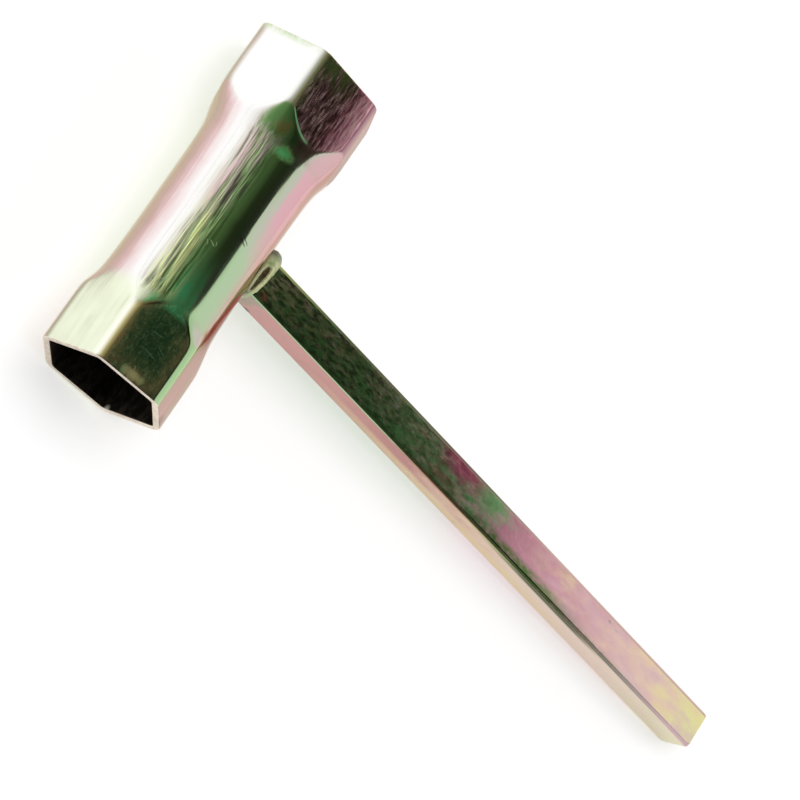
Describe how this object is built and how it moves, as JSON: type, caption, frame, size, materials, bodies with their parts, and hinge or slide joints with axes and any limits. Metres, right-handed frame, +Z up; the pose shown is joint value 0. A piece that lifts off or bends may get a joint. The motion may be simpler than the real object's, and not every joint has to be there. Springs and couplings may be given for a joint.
{
  "type": "spark plug wrench",
  "caption": "Double-ended spark plug wrench: a tube swaged to a hexagon socket at each end, round at the waist, with a square bar handle welded square to its side.",
  "frame": {"origin": "bottom centre of the wrench's box as it lies on a bench", "axes": "+Y along the handle towards its free end, +X along the tube towards the small socket, +Z up; the wrench lies on a corner of each socket and on the handle's free end"},
  "size_m": [0.0656, 0.1574, 0.0242],
  "materials": {
    "plated_tube": "iridescent yellow zinc plating over drawn tube, faint axial scratches",
    "plated_bar": "iridescent yellow zinc plating over mill-finish bar, mottled",
    "weld_metal": "plated weld, rippled"
  },
  "bodies": {
    "root": {"socket_tube": "plated_tube", "handle_bar": "plated_bar", "weld_bead_front": "weld_metal", "weld_bead_back": "weld_metal"}
  },
  "joints": []
}
